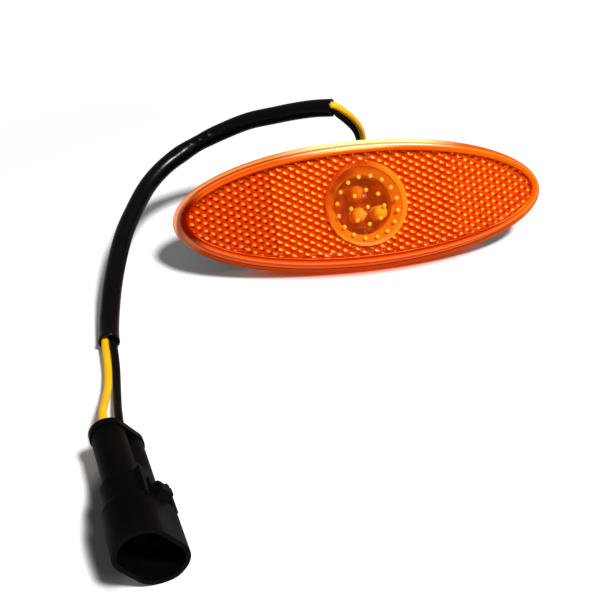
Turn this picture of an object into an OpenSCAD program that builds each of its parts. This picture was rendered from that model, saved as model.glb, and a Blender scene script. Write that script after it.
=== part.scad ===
// Side marker lamp: an oval amber lens with a moulded-in prism reflector, a round clear window
// over four diodes, a shallow rear box, and a short two-core lead that ends in a sealed plug.
// The lamp leans back on its rear box, as it rests on a table, with its long axis along X.
// In the lamp's own directions x runs along it, y up its face and z out of its face,
// with z = 0 at the face that is stuck to a body panel.

/* [Lens] */
// Length of the lens over its lip
lens_l = 121; // [114:0.5:128]
// Height of the lens over its lip
lens_h = 41.5; // [39:0.5:44]
// Thickness of the lip
lip_t = 2.2; // [1.8:0.1:2.6]
// Width of the lip in front of the side wall
lip_step = 1.2; // [0.8:0.1:1.6]
// Depth from the mounting face to the edge of the front face
lens_d = 8; // [7.6:0.1:8.8]
// Height of the front face's crown
crown = 0.8; // [0.4:0.1:1.6]
// Thickness of the front wall at its edge
face_t = 2.3; // [2:0.1:2.5]
// Width of the solid border round the prism field
border_w = 4.7; // [4.3:0.1:5.2]

/* [Prisms] */
// Distance between neighbouring prisms
prism_pitch = 2.35; // [2.35:0.05:3]
// Distance of the two seams from the middle
seam_x = 29.6; // [20:0.2:38]

/* [Window] */
// Radius of the clear window
window_r = 13; // [12:0.1:13.6]
// Number of pips in the outer ring
pip_count = 16; // [8:2:20]
// Radius of the outer ring of pips
pip_ring_r = 9.9; // [8.5:0.1:10.2]
// Radius of one pip
pip_r = 0.7; // [0.4:0.05:0.9]
// Height of one pip
pip_h = 0.3; // [0.15:0.05:0.4]
// Shift of the pips along the lamp
pip_x = 0.8; // [0:0.1:1]
// Shift of the pips down the face
pip_y = 1; // [0:0.1:1.2]

/* [Rear housing] */
// Thickness of the back plate inside the lens
plate_t = 2; // [1.6:0.1:2.1]
// Width of the rear box
box_w = 50; // [46:0.5:60]
// Height of the rear box
box_h = 26; // [25:0.5:30]
// Depth of the rear box behind the mounting face
box_d = 9.5; // [9:0.1:12]
// Radius of the box's upright corners
box_r = 4; // [3:0.5:6]
// Thickness of the box's walls
box_wall = 2; // [1.4:0.1:2.2]
// Radius of the boss round the cable hole
boss_r = 4.9; // [4.6:0.1:5.6]
// Length of that boss
boss_l = 2.5; // [1.5:0.1:4]
// Distance of the cable hole from the middle, along the lamp
exit_x = 4; // [0:0.5:6]
// Distance of the cable hole above the middle
exit_y = 5.5; // [5:0.1:6]

/* [Gasket] */
// Thickness of the foam gasket
pad_t = 1.2; // [0.8:0.1:1.6]
// Distance of the gasket's rim from the lip's rim
pad_inset = 1.5; // [1:0.1:3]
// Gap between the gasket and the rear box
pad_gap = 0.5; // [0.2:0.1:1]

/* [Light unit] */
// Thickness of the circuit board
board_t = 1.6; // [1:0.1:1.6]
// Depth of the board's front behind the mounting face
board_d = 2; // [1.6:0.1:2.2]
// Wall of the light collar
collar_wall = 1; // [0.8:0.1:1.2]
// Radius of a diode's round body
led_r = 2.3; // [2.2:0.05:2.4]
// Height of a diode above the board
led_l = 7; // [6:0.1:7]
// Distance between neighbouring diodes
led_pitch = 7; // [6.6:0.1:7.2]
// Shift of the group of diodes along the lamp
led_shift = 2; // [0:0.1:2.1]

/* [Lead] */
// Diameter of one wire over its cover
wire_d = 2.1; // [1.8:0.1:2.1]
// Diameter of the sleeve
sleeve_d = 6; // [6:0.1:6.2]
// Wall of the sleeve
sleeve_wall = 0.6; // [0.4:0.05:0.6]

/* [Plug] */
// Length of the plug
plug_l = 37; // [36:0.2:40]
// Width of the shroud
plug_w = 18.4; // [18:0.1:20]
// Thickness of the shroud
plug_t = 12.4; // [12:0.1:13]
// Wall of the shroud
shroud_wall = 1.1; // [0.9:0.1:1.2]
// Length of the shroud
shroud_l = 11; // [10.6:0.1:11.6]
// Depth of the mouth
mouth_d = 10.4; // [9.6:0.1:10.6]
// Distance between the two ways
way_pitch = 6.4; // [6.2:0.1:6.6]
// Radius of the two rear tubes
tube_r = 4; // [3.8:0.1:4.2]
// Length of the two rear tubes
tube_l = 13; // [12:0.2:13.6]
// Height of the catch on the shroud
catch_h = 2.2; // [1.8:0.1:2.6]
// Radius of the seal's bore in a rear tube
seal_r = 3; // [2.8:0.05:3.1]
// Length of a wire seal
seal_l = 5; // [4:0.2:6]
// Radius of a contact's round body
pin_r = 1.3; // [1.1:0.05:1.4]

/* [Hidden] */

oval_sides = 72;
round_sides = 64;

// Named clearances
plate_gap = 0.1;
stake_gap = 0.1;
board_gap = 0.2;
collar_gap = 0.3;
led_gap = 0.2;
rim_gap = 0.1;
wire_gap = 0.06;
pin_gap = 0.1;
lock_gap = 0.15;

// Depths in the lamp's own z
lip_z = pad_t + lip_t;
ceiling_z = lens_d - face_t;
plate_z = pad_t + plate_t;
board_z = -board_d;
rear_z = -box_d;
nose_l = 4.5;
nose_z = rear_z - boss_l - nose_l;

// The two insets of the side wall, and the rounded edge of the face
wall_foot = lip_step;
wall_top = lip_step + 1;
edge_r = 1.1;
plate_inset = 2.4;
ledge_inset = 3.3;

// The lamp leans back until the lip and the lower rear edge of the box both touch the table
lip_edge = 0.3;
lean = atan((lens_h / 2 - box_h / 2) / (box_d + pad_t + lip_edge));
lamp_up = lens_h / 2 * cos(lean) - (pad_t + lip_edge) * sin(lean);

// Outline of the lens's section as distance from its rim and depth, with the crown's curve
crown_steps = 5;
face_half = lens_h / 2 - wall_top - edge_r;
function crown_inset(i) = wall_top + edge_r + face_half * i / crown_steps * 0.93;
function crown_z(i) = lens_d + crown * (1 - pow(1 - i / crown_steps, 2));
face_profile = concat(
    [[wall_foot, lip_z], [wall_top, lens_d - edge_r]],
    [for (a = [30, 60]) [wall_top + edge_r * (1 - cos(a)), lens_d - edge_r * (1 - sin(a))]],
    [for (i = [0:crown_steps]) [crown_inset(i), crown_z(i)]]);

// The lamp's nearest and farthest points along the table, which centre it on the origin
lens_front = min([for (p = face_profile) (p[0] - lens_h / 2) * sin(lean) - p[1] * cos(lean)]);
boss_back = (exit_y + boss_r) * sin(lean) + (box_d + boss_l) * cos(lean);
box_back = box_h / 2 * sin(lean) + box_d * cos(lean);
lamp_y = -(lens_front + max(boss_back, box_back)) / 2;

// Sizes of the prisms: corners of cubes that hang tip down, so that they tile as hexagons
cell_r = prism_pitch / sqrt(3);
cell_drop = prism_pitch * sqrt(2 / 3);

// Places on the circuit board
led_half = led_pitch / 2;
led_y = 0.6;
led_places = [[led_shift - led_half, led_y + led_half], [led_shift + led_half, led_y + led_half],
              [led_shift - led_half, led_y - led_half], [led_shift + led_half, led_y - led_half]];
led_flange = 0.15;
cup_r = norm([led_shift + led_half, led_y + led_half]) + led_r + led_flange + led_gap;
foot_r = cup_r + collar_wall;
stake_r = 1;
stake_x = box_w / 2 - box_wall - 3.2;
chip_y = led_half + led_r + 1.9;
end_chip_x = (foot_r + stake_x) / 2;
end_chip_y = 5;
end_chip = [6.3, 3.2, 0.7];
board_w = box_w - 2 * box_wall - 2 * board_gap;
board_h = box_h - 2 * box_wall - 2 * board_gap;
board_r = box_r - box_wall;

// The wires leave through two bores in the grommet
wire_r = wire_d / 2;
bore_half = wire_r + 0.3;
grommet_r = 3.5;
nose_r = 3.2;

// The plug lies on the rim of its mouth and is rolled on its axis
plug_heading = 10;
plug_pitch = 2.2;
plug_roll = 56;
plug_rear = [-80.9, -79.9, 0];
plug_rise = cos(plug_pitch) * ((plug_w - plug_t) / 2 * sin(plug_roll) + plug_t / 2)
            - plug_l * sin(plug_pitch);
plug_at = [plug_rear[0], plug_rear[1], plug_rise];
plug_axis = [sin(plug_heading) * cos(plug_pitch), -cos(plug_heading) * cos(plug_pitch),
             sin(plug_pitch)];
body_w = plug_w - 1.8;
body_t = plug_t - 1.8;
shoulder_z = plug_l - shroud_l;
body_z = 17.4;
tab_l = 4.4;
seat_z = 8;

// Route of the sleeve's middle line over and round the lamp, from its upper end to the table
sleeve_route = [
    [-5.5, 19.5, 42.4], [-11, 22.5, 41.3], [-17, 25.5, 39.6], [-23, 28.5, 37.5], [-31, 31.5, 35],
    [-39, 32.5, 32], [-46.5, 32, 29.2], [-53, 30.5, 26.6], [-59, 27.5, 24.2], [-64, 23.5, 21.8],
    [-68, 18.5, 19.5], [-72, 11, 16.7], [-75.5, 3, 14], [-78.3, -7, 11], [-80.4, -17, 8],
    [-81.6, -25, 5.4], [-82.2, -31, 3.8], [-82.4, -37.5, 3.1]];

// Hand-chosen points of each wire between the grommet and the sleeve, and the sleeve and plug
yellow_up = [
    [6.2, 22.6, 8.8], [7.2, 26, 9.6], [8, 28.6, 12.2], [8.5, 29.6, 16], [8.4, 29, 20.6],
    [7.9, 27.8, 25.2], [7.1, 26.6, 28.6], [5.9, 25.4, 31.6], [4.2, 24.2, 34.4], [2.1, 22.9, 37.2],
    [-0.2, 21.5, 40], [-2.7, 20.1, 42.5]];
black_up = [
    [3.8, 22.6, 8.6], [4.6, 25.8, 9.4], [5.3, 28.2, 12], [5.9, 29.5, 15.6], [6.1, 29.6, 19.6],
    [5.8, 28.9, 23.8], [5.2, 27.7, 27], [4.2, 26.3, 29.8], [2.7, 24.9, 32.3], [0.8, 23.3, 35],
    [-1.2, 21.6, 37.5], [-3.2, 19.8, 40.2]];
yellow_down = [
    [-83.2, -43, 3.1], [-82.9, -49, 3], [-82.9, -57, 4], [-83.4, -65, 6.4], [-83.7, -71, 8.6]];
black_down = [
    [-81, -43, 2.3], [-80.8, -49, 2.1], [-80.8, -56, 2.3], [-80.7, -64, 3.2], [-80.4, -70, 4.1]];

// Vectors
function unit(v) = v / norm(v);
function across(v, t) = unit(v - (v * t) * t);
function blend(a, b, k) = a * (1 - k) + b * k;

// A point of the lamp, and a point of the plug, in the table's directions
function lamp_point(p) = [p[0], lamp_y + p[1] * sin(lean) - p[2] * cos(lean),
                          lamp_up + p[1] * cos(lean) + p[2] * sin(lean)];
plug_right = [cos(plug_heading), sin(plug_heading), 0];
plug_over = cross(plug_axis, plug_right);
plug_side = cos(plug_roll) * plug_right - sin(plug_roll) * plug_over;
function plug_point(side, z) = plug_at + side * way_pitch / 2 * plug_side + z * plug_axis;

// Inside the sleeve one wire runs on each side of the middle line
pair_half = wire_r + 0.08;
sleeve_last = len(sleeve_route) - 1;
function route_tangent(r, i) = unit(r[min(i + 1, len(r) - 1)] - r[max(i - 1, 0)]);
function pair_way(i) = across(blend([0, 0.2, 1], [-1, 0, 0.1], i / sleeve_last),
                              route_tangent(sleeve_route, i));
function in_sleeve(side) = [for (i = [0:sleeve_last])
    sleeve_route[i] + side * pair_half * pair_way(i)];

// A wire runs from the back of the board to the back of its contact
function wire_route(side, up, down) = concat(
    [for (z = [board_z - board_t, rear_z, nose_z, nose_z - 3])
        lamp_point([exit_x + side * bore_half, exit_y, z])],
    up, in_sleeve(side), down,
    [for (z = [-5, 0, seat_z]) plug_point(-side, z)]);
yellow_route = wire_route(1, yellow_up, yellow_down);
black_route = wire_route(-1, black_up, black_down);

// Rings of points square to a route, and the solid rod or open tube between them
wire_sides = 8;
sleeve_sides = 12;
function first_normal(t) = across(abs(t[2]) < 0.9 ? [0, 0, 1] : [1, 0, 0], t);
function carried(r, i) = i == 0 ? first_normal(route_tangent(r, 0))
                                : across(carried(r, i - 1), route_tangent(r, i));
function ring(r, i, rad, sides) =
    let (t = route_tangent(r, i), n = carried(r, i), b = cross(t, n))
    [for (k = [0:sides - 1]) let (a = 360 * k / sides)
        r[i] + rad * (cos(a) * n + sin(a) * b)];
function rings(r, rad, sides) = [for (i = [0:len(r) - 1]) each ring(r, i, rad, sides)];
function side_faces(count, sides, from, flip) = [for (i = [0:count - 2], k = [0:sides - 1])
    let (a = from + i * sides + k, b = from + i * sides + (k + 1) % sides)
    each flip ? [[a, b + sides, b], [a, a + sides, b + sides]]
              : [[a, b, b + sides], [a, b + sides, a + sides]]];

module rod(route, rad, sides) {
    count = len(route);
    last = (count - 1) * sides;
    caps = [[for (k = [0:sides - 1]) k], [for (k = [0:sides - 1]) last + sides - 1 - k]];
    polyhedron(rings(route, rad, sides), concat(side_faces(count, sides, 0, true), caps));
}

module open_tube(route, outer, inner, sides) {
    count = len(route);
    all = count * sides;
    last = (count - 1) * sides;
    ends = [for (k = [0:sides - 1]) let (m = (k + 1) % sides)
        each [[k, m, all + m], [k, all + m, all + k],
              [last + m, last + k, last + all + k], [last + m, last + all + k, last + all + m]]];
    polyhedron(concat(rings(route, outer, sides), rings(route, inner, sides)),
               concat(side_faces(count, sides, 0, true), side_faces(count, sides, all, false), ends));
}

// Shapes that several pieces share
module oval(inset) {
    polygon([for (i = [0:oval_sides - 1]) let (a = 360 * i / oval_sides)
        [(lens_l / 2 - inset) * cos(a), (lens_h / 2 - inset) * sin(a)]]);
}

// A solid through stacked ovals, each given as its distance from the lip's rim and its depth
module oval_loft(stack) {
    count = len(stack);
    last = (count - 1) * oval_sides;
    points = [for (s = stack, i = [0:oval_sides - 1]) let (a = 360 * i / oval_sides)
        [(lens_l / 2 - s[0]) * cos(a), (lens_h / 2 - s[0]) * sin(a), s[1]]];
    caps = [[for (i = [0:oval_sides - 1]) i], [for (i = [0:oval_sides - 1]) last + oval_sides - 1 - i]];
    polyhedron(points, concat(side_faces(count, oval_sides, 0, true), caps));
}

module rounded_block(w, h, r, z0, z1) {
    translate([0, 0, z0]) linear_extrude(z1 - z0) {
        square([w - 2 * r, h], center = true);
        square([w, h - 2 * r], center = true);
        for (x = [-1, 1], y = [-1, 1])
            translate([x * (w / 2 - r), y * (h / 2 - r)]) circle(r, $fn = round_sides);
    }
}

module stadium(w, t, sides = round_sides) {
    square([w - t, t], center = true);
    for (x = [-1, 1])
        translate([x * (w - t) / 2, 0]) circle(t / 2, $fn = sides);
}

module stadium_block(w, t, z0, z1, sides = round_sides) {
    translate([0, 0, z0]) linear_extrude(z1 - z0) stadium(w, t, sides);
}

module post(r, z0, z1, sides = round_sides) {
    translate([0, 0, z0]) cylinder(r = r, h = z1 - z0, $fn = sides);
}

module on_lamp() {
    translate([0, lamp_y, lamp_up]) rotate([90 - lean, 0, 0]) children();
}

module on_plug() {
    translate(plug_at) rotate([90 - plug_pitch, 0, plug_heading]) rotate([0, 0, -plug_roll])
        children();
}

// One sheet of cube corners, which turn light back the way it came. Of the points between the
// tips, every second one stands half as high, and at a seam these trade places with the others.
function prism_depth(kind, inner) = kind == 0 ? cell_drop : (kind == 1) == inner ? 0 : cell_drop / 2;

module prism_sheet() {
    row_step = cell_r * sqrt(3) / 2;
    half_x = ceil(lens_l / 2 / cell_r);
    half_y = ceil(lens_h / 2 / row_step);
    wide = 2 * half_x + 1;
    tall = 2 * half_y + 1;
    sink = 0.05;
    low = [for (r = [0:tall - 1], k = [0:wide - 1])
        let (odd = r % 2, x = min(k - half_x + odd / 2, half_x) * cell_r,
             kind = (k - (r - odd) / 2 - r + 3 * tall) % 3)
        [x, (r - half_y) * row_step, ceiling_z - sink - prism_depth(kind, abs(x) < seam_x)]];
    facets = [for (r = [0:tall - 2], k = [0:wide - 2])
        let (a = r * wide + k, b = a + wide)
        each r % 2 == 0 ? [[a, a + 1, b], [a + 1, b + 1, b]] : [[a, a + 1, b + 1], [a, b + 1, b]]];
    loop = concat([for (k = [0:wide - 1]) k],
                  [for (r = [1:tall - 1]) r * wide + wide - 1],
                  [for (k = [wide - 2:-1:0]) (tall - 1) * wide + k],
                  [for (r = [tall - 2:-1:1]) r * wide]);
    count = len(loop);
    top = [for (i = loop) [low[i][0], low[i][1], ceiling_z + 0.5]];
    base = wide * tall;
    walls = [for (i = [0:count - 1]) let (m = (i + 1) % count)
        [loop[i], base + i, base + m, loop[m]]];
    polyhedron(concat(low, top), concat(facets, walls, [[for (i = [count - 1:-1:0]) base + i]]));
}

module pip() {
    hull() {
        post(pip_r, ceiling_z - 0.05, ceiling_z + pip_h, 8);
        post(pip_r * 0.55, ceiling_z - pip_h, ceiling_z, 8);
    }
}

module window_pips() {
    translate([pip_x, -pip_y, 0]) {
        pip();
        for (i = [0:pip_count / 2 - 1])
            rotate([0, 0, 360 * i / (pip_count / 2)]) translate([pip_ring_r * 0.55, 0, 0]) pip();
        for (i = [0:pip_count - 1])
            rotate([0, 0, 360 * (i + 0.5) / pip_count]) translate([pip_ring_r, 0, 0]) pip();
    }
}

module lens() {
    color("darkorange") on_lamp() difference() {
        oval_loft(concat([[lip_edge, pad_t], [0, pad_t + lip_edge], [0, lip_z - lip_edge],
                          [lip_edge, lip_z]], face_profile));
        oval_loft([[plate_inset, pad_t - 1], [plate_inset, plate_z]]);
        difference() {
            oval_loft([[ledge_inset, plate_z - 1], [border_w, ceiling_z]]);
            difference() {
                prism_sheet();
                post(window_r, ceiling_z - 2 * cell_drop, ceiling_z + 1);
            }
            window_pips();
        }
    }
}

module gasket() {
    color("dimgray") on_lamp() difference() {
        linear_extrude(pad_t) oval(pad_inset);
        rounded_block(box_w + 2 * pad_gap, box_h + 2 * pad_gap, box_r + pad_gap, -1, pad_t + 1);
    }
}

module rear_housing() {
    inner_r = box_r - box_wall;
    color([0.1, 0.1, 0.11]) on_lamp() difference() {
        union() {
            translate([0, 0, pad_t]) linear_extrude(plate_t) oval(plate_inset + plate_gap);
            rounded_block(box_w, box_h, box_r, rear_z, plate_z);
            translate([exit_x, exit_y, 0]) post(boss_r, rear_z - boss_l, rear_z + 1);
        }
        difference() {
            rounded_block(box_w - 2 * box_wall, box_h - 2 * box_wall, inner_r,
                          rear_z + box_wall, plate_z + 1);
            // Ledges that carry the board, and the stakes that hold it
            for (side = [-1, 1]) {
                translate([side * (box_w / 2 - box_wall - 1), 0, (rear_z + board_z - board_t) / 2])
                    cube([6, box_h, board_z - board_t - rear_z], center = true);
                translate([side * stake_x, 0, 0]) post(stake_r, rear_z, board_z + 0.8);
            }
        }
        translate([exit_x, exit_y, 0]) post(grommet_r, rear_z - boss_l - 1, rear_z + box_wall + 1);
    }
}

// The cup stands round the diodes, and its foot gives way to the box's walls where they are nearer
module light_collar() {
    rim_r = window_r - 0.3;
    rim_z = ceiling_z - pip_h - rim_gap;
    room = 2 * (box_wall + collar_gap);
    color("white") on_lamp() difference() {
        rotate_extrude($fn = round_sides)
            polygon([[cup_r, board_z], [foot_r, board_z], [foot_r, plate_z],
                     [rim_r, rim_z - 0.5], [rim_r, rim_z],
                     [rim_r - collar_wall, rim_z], [cup_r, plate_z - 0.2]]);
        difference() {
            post(foot_r + 1, board_z - 1, plate_z);
            rounded_block(box_w - room, box_h - room, board_r, board_z - 2, plate_z + 1);
        }
    }
}

module circuit_board() {
    color([0.36, 0.05, 0.04]) on_lamp() difference() {
        rounded_block(board_w, board_h, board_r, board_z - board_t, board_z);
        for (side = [-1, 1])
            translate([side * stake_x, 0, 0])
                post(stake_r + stake_gap, board_z - board_t - 1, board_z + 1);
    }
}

// A round-topped diode with a flange at its foot
module led(i) {
    flange_h = 1;
    shoulder = led_l - led_r;
    color("orange") on_lamp() translate([led_places[i][0], led_places[i][1], board_z])
        rotate_extrude($fn = round_sides)
            polygon(concat([[0, 0], [led_r + led_flange, 0], [led_r + led_flange, flange_h],
                            [led_r, flange_h]],
                           [for (a = [0:10:90]) [led_r * cos(a), shoulder + led_r * sin(a)]]));
}

module led_1() { led(0); }
module led_2() { led(1); }
module led_3() { led(2); }
module led_4() { led(3); }

// A block-shaped part soldered to the board's front, with its two end caps
module chip(x, y, size) {
    cap_w = size[0] / 5;
    cap_over = 0.05;
    on_lamp() translate([x, y, board_z]) {
        translate([-size[0] / 2 + cap_w, -size[1] / 2, 0])
            cube([size[0] - 2 * cap_w, size[1], size[2]]);
        for (side = [-1, 1])
            translate([side * (size[0] - cap_w) / 2 - cap_w / 2, -size[1] / 2 - cap_over, 0])
                cube([cap_w, size[1] + 2 * cap_over, size[2] + cap_over]);
    }
}

module resistor_1() { color([0.15, 0.1, 0.1]) chip(1.4, chip_y, [3.2, 1.5, 0.6]); }
module resistor_2() { color([0.15, 0.1, 0.1]) chip(-end_chip_x, end_chip_y, end_chip); }
module resistor_3() { color([0.15, 0.1, 0.1]) chip(-end_chip_x, -end_chip_y, end_chip); }
module diode() { color([0.05, 0.05, 0.05]) chip(-0.9, -chip_y - 0.2, [3, 1.5, 1.1]); }
module capacitor() { color("saddlebrown") chip(2.6, -chip_y + 0.1, [2, 1.4, 0.9]); }

// The rubber bush that seals the hole, with a flange inside and a tapered nose outside
module cable_grommet() {
    flange_t = 1;
    outer = boss_r - 0.4;
    boss_z = rear_z - boss_l;
    color([0.08, 0.08, 0.08]) on_lamp() translate([exit_x, exit_y, 0]) difference() {
        rotate_extrude($fn = round_sides)
            polygon([[0, nose_z], [nose_r, nose_z], [outer, boss_z - 1.2], [outer, boss_z],
                     [grommet_r, boss_z], [grommet_r, rear_z + box_wall],
                     [grommet_r + 0.8, rear_z + box_wall],
                     [grommet_r + 0.8, rear_z + box_wall + flange_t],
                     [0, rear_z + box_wall + flange_t]]);
        for (side = [-1, 1])
            translate([side * bore_half, 0, 0])
                post(wire_r + wire_gap, nose_z - 1, rear_z + box_wall + flange_t + 1);
    }
}

module yellow_wire() { color("gold") rod(yellow_route, wire_r, wire_sides); }
module black_wire() { color([0.06, 0.06, 0.06]) rod(black_route, wire_r, wire_sides); }

module sleeve() {
    color([0.04, 0.04, 0.04])
        open_tube(sleeve_route, sleeve_d / 2, sleeve_d / 2 - sleeve_wall, sleeve_sides);
}

// The outside of the plug: two rear tubes, a waist, a wider body, the shroud and its catch
module plug_skin() {
    rim_t = 1.8;
    rim_step = 0.35;
    waist_w = 2 * tube_r + way_pitch;
    catch_w = 3.8;
    catch_z = shoulder_z - 3.6;
    for (side = [-1, 1])
        translate([side * way_pitch / 2, 0, 0]) post(tube_r, 0, tube_l + 1);
    stadium_block(waist_w + 2 * rim_step, 2 * (tube_r + rim_step), 0, rim_t);
    stadium_block(waist_w, 2 * tube_r, tube_l, body_z + 1);
    hull() {
        stadium_block(waist_w, 2 * tube_r, body_z, body_z + 0.1, 32);
        stadium_block(body_w, body_t, body_z + 1.4, body_z + 1.5, 32);
    }
    stadium_block(body_w, body_t, body_z + 1.4, plug_l - mouth_d + 0.4);
    hull() {
        stadium_block(body_w, body_t, shoulder_z - 1.3, shoulder_z - 1.2, 32);
        stadium_block(plug_w, plug_t, shoulder_z, shoulder_z + 0.1, 32);
    }
    stadium_block(plug_w, plug_t, shoulder_z, plug_l);
    // Catch for the mating half, and two guide ribs beside it and one on the far side
    translate([0, body_t / 2 - 1, 0]) rotate([90, 0, 90])
        translate([0, 0, -catch_w / 2]) linear_extrude(catch_w)
            polygon([[0, catch_z - 3.4], [1.6, catch_z - 2.4], [1.6, catch_z],
                     [1 + catch_h, catch_z], [1.6 + catch_h, catch_z + 0.8],
                     [1.6 + catch_h, catch_z + 2.8], [1.6, catch_z + 3.8], [0, catch_z + 3.8]]);
    for (x = [-1, 1])
        translate([x * 4.6 - 0.5, body_t / 2 - 1, body_z + 1]) cube([1, 1.9, shoulder_z - body_z]);
    translate([-0.6, -body_t / 2 - 0.9, body_z + 1]) cube([1.2, 1.9, shoulder_z - body_z]);
}

module plug_housing() {
    floor_z = plug_l - mouth_d;
    color([0.09, 0.09, 0.1]) on_plug() difference() {
        plug_skin();
        stadium_block(plug_w - 2 * shroud_wall, plug_t - 2 * shroud_wall, floor_z, plug_l + 1);
        for (side = [-1, 1])
            translate([side * way_pitch / 2, 0, 0]) {
                post(seal_r, -1, seat_z - 1);
                post(pin_r + pin_gap, seat_z - 2, floor_z + 1);
            }
    }
}

// The plate that locks the contacts, on the floor of the mouth
module plug_lock() {
    floor_z = plug_l - mouth_d;
    color([0.14, 0.14, 0.15]) on_plug() difference() {
        union() {
            stadium_block(plug_w - 2 * shroud_wall - 2 * lock_gap,
                          plug_t - 2 * shroud_wall - 2 * lock_gap, floor_z, floor_z + 2);
            stadium_block(2.4, 1.2, floor_z + 1, floor_z + 4);
        }
        for (side = [-1, 1])
            translate([side * way_pitch / 2, 0, 0]) post(pin_r + pin_gap, floor_z - 1, floor_z + 5);
    }
}

module pin(side) {
    floor_z = plug_l - mouth_d;
    tab_w = 1.5;
    tab_t = 0.8;
    color("silver") on_plug() translate([side * way_pitch / 2, 0, 0]) {
        post(pin_r, seat_z, floor_z + 1.5);
        translate([0, 0, floor_z + 1]) linear_extrude(tab_l - 1)
            square([tab_w, tab_t], center = true);
        translate([0, tab_t / 2, floor_z + tab_l]) rotate([90, 0, 0]) linear_extrude(tab_t)
            polygon([[-tab_w / 2, -0.1], [tab_w / 2, -0.1], [tab_w / 4, 0.9], [-tab_w / 4, 0.9]]);
    }
}

module pin_1() { pin(-1); }
module pin_2() { pin(1); }

// A ribbed rubber seal round each wire in its rear tube
module wire_seal(side) {
    rib = 0.4;
    start = 0.6;
    step = seal_l / 5;
    color([0.1, 0.1, 0.1]) on_plug() translate([side * way_pitch / 2, 0, start]) difference() {
        rotate_extrude($fn = round_sides)
            polygon(concat([[0.5, 0]],
                           [for (i = [0:4]) each [[seal_r - (i % 2) * rib, i * step],
                                                  [seal_r - (i % 2) * rib, (i + 1) * step]]],
                           [[0.5, seal_l]]));
        post(wire_r + wire_gap, -1, seal_l + 1);
    }
}

module wire_seal_1() { wire_seal(-1); }
module wire_seal_2() { wire_seal(1); }

lens();
gasket();
rear_housing();
light_collar();
circuit_board();
led_1();
led_2();
led_3();
led_4();
resistor_1();
resistor_2();
resistor_3();
diode();
capacitor();
cable_grommet();
yellow_wire();
black_wire();
sleeve();
plug_housing();
plug_lock();
pin_1();
pin_2();
wire_seal_1();
wire_seal_2();
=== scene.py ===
"""Side marker lamp: an amber oval lens with a prism field, a lead in a black sleeve, and its plug.

The lamp leans back on its rear box with its long axis along X, and the lens faces -Y. Lengths are
written in millimetres and turned to metres where a mesh is made.
"""
import logging
import math
from collections.abc import Callable, Sequence
from dataclasses import dataclass, field
from enum import Enum
from functools import partial

import bmesh
import bpy
from bpy.types import Material, Node, NodeSocket, NodeTree, Object
from mathutils import Matrix, Vector


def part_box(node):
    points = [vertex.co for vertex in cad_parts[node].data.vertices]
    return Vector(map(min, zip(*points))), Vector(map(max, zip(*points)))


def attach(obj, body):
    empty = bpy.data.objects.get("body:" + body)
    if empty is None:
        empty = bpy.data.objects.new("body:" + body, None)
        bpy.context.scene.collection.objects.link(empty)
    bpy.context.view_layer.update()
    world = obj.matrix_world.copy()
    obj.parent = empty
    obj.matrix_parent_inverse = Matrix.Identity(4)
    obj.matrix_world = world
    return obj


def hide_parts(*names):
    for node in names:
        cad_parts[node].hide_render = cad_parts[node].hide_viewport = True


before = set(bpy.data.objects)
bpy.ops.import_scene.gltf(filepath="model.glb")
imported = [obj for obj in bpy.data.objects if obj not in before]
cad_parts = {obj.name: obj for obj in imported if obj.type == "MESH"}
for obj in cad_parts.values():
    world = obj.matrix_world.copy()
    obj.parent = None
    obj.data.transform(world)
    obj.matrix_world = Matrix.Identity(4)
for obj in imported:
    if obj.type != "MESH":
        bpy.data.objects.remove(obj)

LOG = logging.getLogger("marker_lamp")
MM = 0.001
ROOT = "root"
Pair = tuple[float, float]
Point = tuple[float, float, float]
Bands = tuple[tuple[float, str], ...]
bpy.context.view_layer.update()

# Kinds of node that come up often, and the settings that go with them
MATH, VECTOR, RANGE = "ShaderNodeMath", "ShaderNodeVectorMath", "ShaderNodeMapRange"
MIX, RAMP = "ShaderNodeMix", "ShaderNodeValToRGB"
NOISE, BUMP = "ShaderNodeTexNoise", "ShaderNodeBump"
OBJECT_INFO, ON_POINTS = "GeometryNodeObjectInfo", "GeometryNodeInstanceOnPoints"
COLOUR = {"data_type": "RGBA"}
SMOOTH = {"interpolation_type": "SMOOTHSTEP"}


# ---------------------------------------------------------------- nodes and finishes

def linear(code: str) -> tuple[float, float, float, float]:
    """Turn an sRGB hex colour into a linear one.

    Args:
        code: Colour such as "#ff8800".

    Returns:
        Red, green, blue and alpha in linear light.
    """
    parts = [int(code[i:i + 2], 16) / 255 for i in (1, 3, 5)]
    turned = [c / 12.92 if c <= 0.04045 else ((c + 0.055) / 1.055) ** 2.4 for c in parts]
    return (turned[0], turned[1], turned[2], 1.0)


def feed(tree: NodeTree, value: object, socket: NodeSocket) -> None:
    """Give an input a plain value, an output socket, or a node's first output in use."""
    if isinstance(value, Node):
        value = next(output for output in value.outputs if output.enabled)
    if isinstance(value, NodeSocket):
        tree.links.new(value, socket)
    else:
        socket.default_value = value


def add_node(tree: NodeTree, kind: str, *values: object,
             inputs: dict[str, object] | None = None, **settings: object) -> Node:
    """Add one node with its settings, values and links.

    Args:
        tree: Node tree that gets the node.
        kind: Blender's name for the kind of node.
        values: What feeds its inputs in use, in their order.
        inputs: What feeds inputs given by name.
        settings: Attributes of the node.

    Returns:
        The new node.
    """
    node = tree.nodes.new(kind)
    for name, setting in settings.items():
        setattr(node, name, setting)
    for socket, value in zip([socket for socket in node.inputs if socket.enabled], values):
        feed(tree, value, socket)
    for name, value in (inputs or {}).items():
        feed(tree, value, node.inputs[name])
    return node


def empty_tree(owner: bpy.types.ID) -> NodeTree:
    """Turn on the nodes of a material or world and return its tree without any."""
    owner.use_nodes = True
    owner.node_tree.nodes.clear()
    return owner.node_tree


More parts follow.
